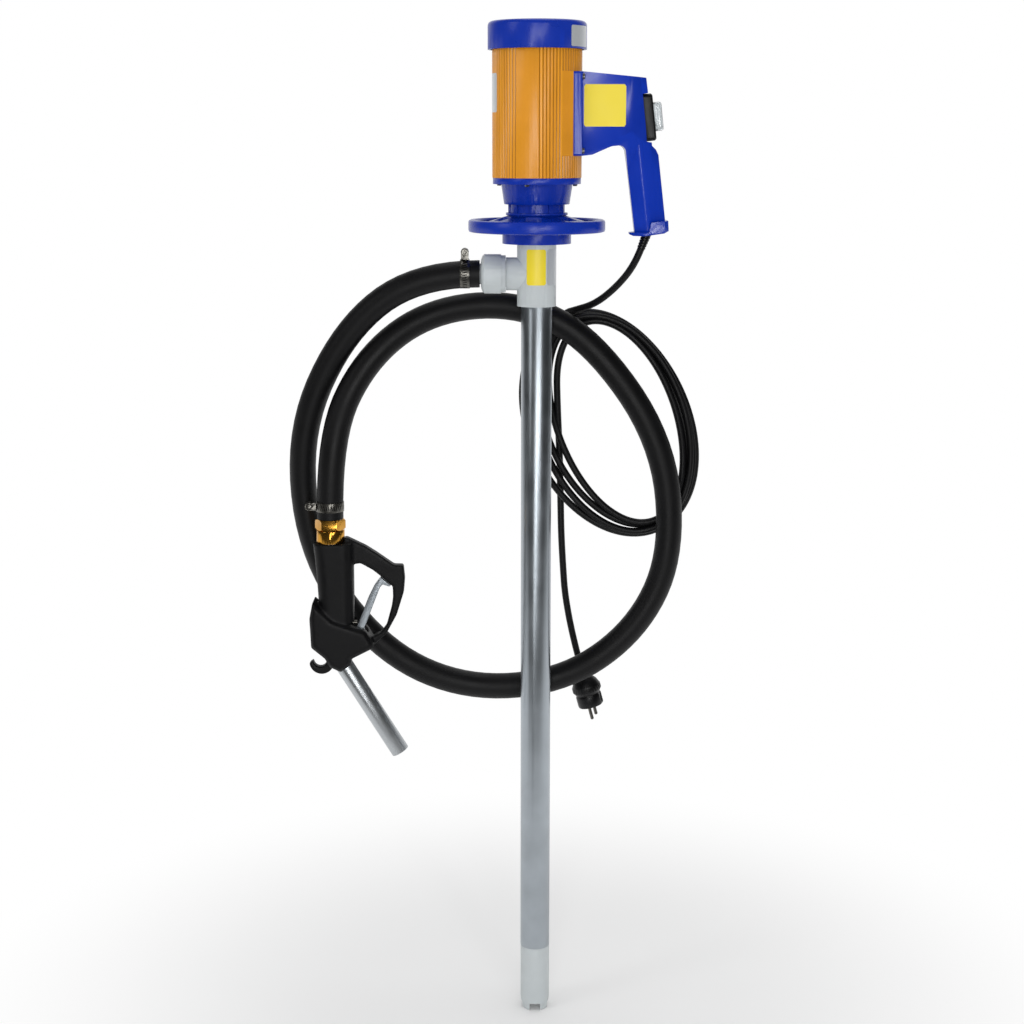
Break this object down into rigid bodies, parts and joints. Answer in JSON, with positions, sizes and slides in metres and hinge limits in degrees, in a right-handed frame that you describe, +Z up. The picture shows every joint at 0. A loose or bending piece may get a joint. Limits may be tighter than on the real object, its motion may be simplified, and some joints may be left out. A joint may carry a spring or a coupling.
{
  "type": "electric drum pump",
  "caption": "Electric drum pump: ribbed hand-held motor on a long aluminium tube, with delivery hose, trigger nozzle and mains lead.",
  "frame": {"origin": "on the shaft's axis at the top of the bare pump tube, where the discharge body begins", "axes": "+Z up along the pump shaft, +X towards the handle, -X towards the outlet"},
  "size_m": [0.5686, 0.2081, 1.366],
  "materials": {
    "blue_plastic": "moulded, slightly glossy",
    "yellow_paint": "satin powder coat",
    "natural_pp": "milky polypropylene",
    "tube_aluminium": "drawn, dull",
    "plain_steel": "turned or zinc plated",
    "core_iron": "stacked sheet",
    "copper_wire": "enamelled wire",
    "brass": "turned, bare",
    "carbon": "pressed carbon",
    "black_plastic": "moulded, satin",
    "grey_plastic": "moulded, satin",
    "clear_plastic": "clear soft cover",
    "black_rubber": "smooth rubber",
    "seal_rubber": "sealing rubber",
    "cast_aluminium": "cast, dull"
  },
  "bodies": {
    "pump_unit": {"motor_cap": "blue_plastic", "end_shield": "blue_plastic", "handle_plate": "blue_plastic", "handle_shell_front": "blue_plastic", "handle_shell_rear": "blue_plastic", "grip_end_cap": "blue_plastic", "motor_housing": "yellow_paint", "discharge_body": "natural_pp", "outlet_tail": "natural_pp", "pump_foot": "natural_pp", "inner_tube": "natural_pp", "outer_tube": "tube_aluminium", "base_screws": "plain_steel", "handle_plate_screws": "plain_steel", "handle_shell_screws": "plain_steel", "bearing_outer_rings": "plain_steel", "hose_clamp_bands": "plain_steel", "hose_clamp_screws": "plain_steel", "plug_pins": "plain_steel", "field_core": "core_iron", "field_windings": "copper_wire", "nozzle_hose_tail": "brass", "brush_holders": "brass", "carbon_brushes": "carbon", "shaft_bushes": "carbon", "switch_frame": "black_plastic", "terminal_block": "black_plastic", "suppression_capacitor": "black_plastic", "cord_strain_relief": "black_plastic", "plug_body": "black_plastic", "switch_boot": "clear_plastic", "delivery_hose": "black_rubber", "lead_from_grip": "black_rubber", "lead_coil": "black_rubber", "lead_to_plug": "black_rubber", "shaft_seal": "seal_rubber", "outlet_gasket": "seal_rubber", "upper_bracket": "cast_aluminium"},
    "handwheel": {"handwheel": "blue_plastic"},
    "union_nut": {"union_nut": "natural_pp"},
    "motor_rotor": {"armature_shaft": "plain_steel", "armature_core": "core_iron", "armature_winding": "copper_wire", "commutator": "copper_wire", "cooling_fan": "black_plastic", "motor_coupling": "black_plastic", "bearing_inner_rings": "plain_steel"},
    "pump_rotor": {"pump_shaft": "plain_steel", "pump_coupling": "black_plastic", "impeller": "natural_pp"},
    "switch_rocker": {"switch_rocker": "grey_plastic"},
    "nozzle": {"nozzle_swivel": "brass", "nozzle_valve_body": "cast_aluminium", "nozzle_cover": "black_plastic", "nozzle_spout": "tube_aluminium", "lever_pin": "plain_steel", "valve_spring": "plain_steel"},
    "nozzle_lever": {"nozzle_lever": "cast_aluminium"},
    "valve_stem": {"valve_stem": "brass"}
  },
  "joints": [
    {"name": "motor_spin", "type": "hinge", "parent": "pump_unit", "child": "motor_rotor", "pos_m": [0, 0, 0.25], "axis": [0, 0, 1], "continuous": true},
    {"name": "pump_spin", "type": "hinge", "parent": "pump_unit", "child": "pump_rotor", "pos_m": [0, 0, 0], "axis": [0, 0, 1], "continuous": true},
    {"name": "handwheel_turn", "type": "hinge", "parent": "pump_unit", "child": "handwheel", "pos_m": [0, 0, 0.1], "axis": [0, 0, 1], "continuous": true},
    {"name": "union_nut_turn", "type": "hinge", "parent": "pump_unit", "child": "union_nut", "pos_m": [-0.055, 0, 0.0422], "axis": [-1, 0, 0], "continuous": true},
    {"name": "switch_rock", "type": "hinge", "parent": "pump_unit", "child": "switch_rocker", "pos_m": [0.14229, 0, 0.24345], "axis": [0, 1, 0], "range_deg": [0, 10]},
    {"name": "nozzle_swivel_turn", "type": "hinge", "parent": "pump_unit", "child": "nozzle", "pos_m": [-0.279, 0, -0.32], "axis": [0, 0, 1], "range_deg": [-170, 10]},
    {"name": "nozzle_lever_squeeze", "type": "hinge", "parent": "nozzle", "child": "nozzle_lever", "pos_m": [-0.241, 0, -0.45], "axis": [0, -1, 0], "range_deg": [0, 20], "stiffness_Nm_per_rad": 2, "springref_deg": -14.32},
    {"name": "valve_stem_slide", "type": "slide", "parent": "nozzle", "child": "valve_stem", "axis": [-1, 0, 0], "range_m": [0, 0.0043], "deforming": ["valve_spring"]}
  ],
  "couplings": [
    {"joint": "pump_spin", "follows": "motor_spin", "ratio": 1},
    {"joint": "valve_stem_slide", "follows": "nozzle_lever_squeeze", "m_per_rad": 0.0123}
  ]
}
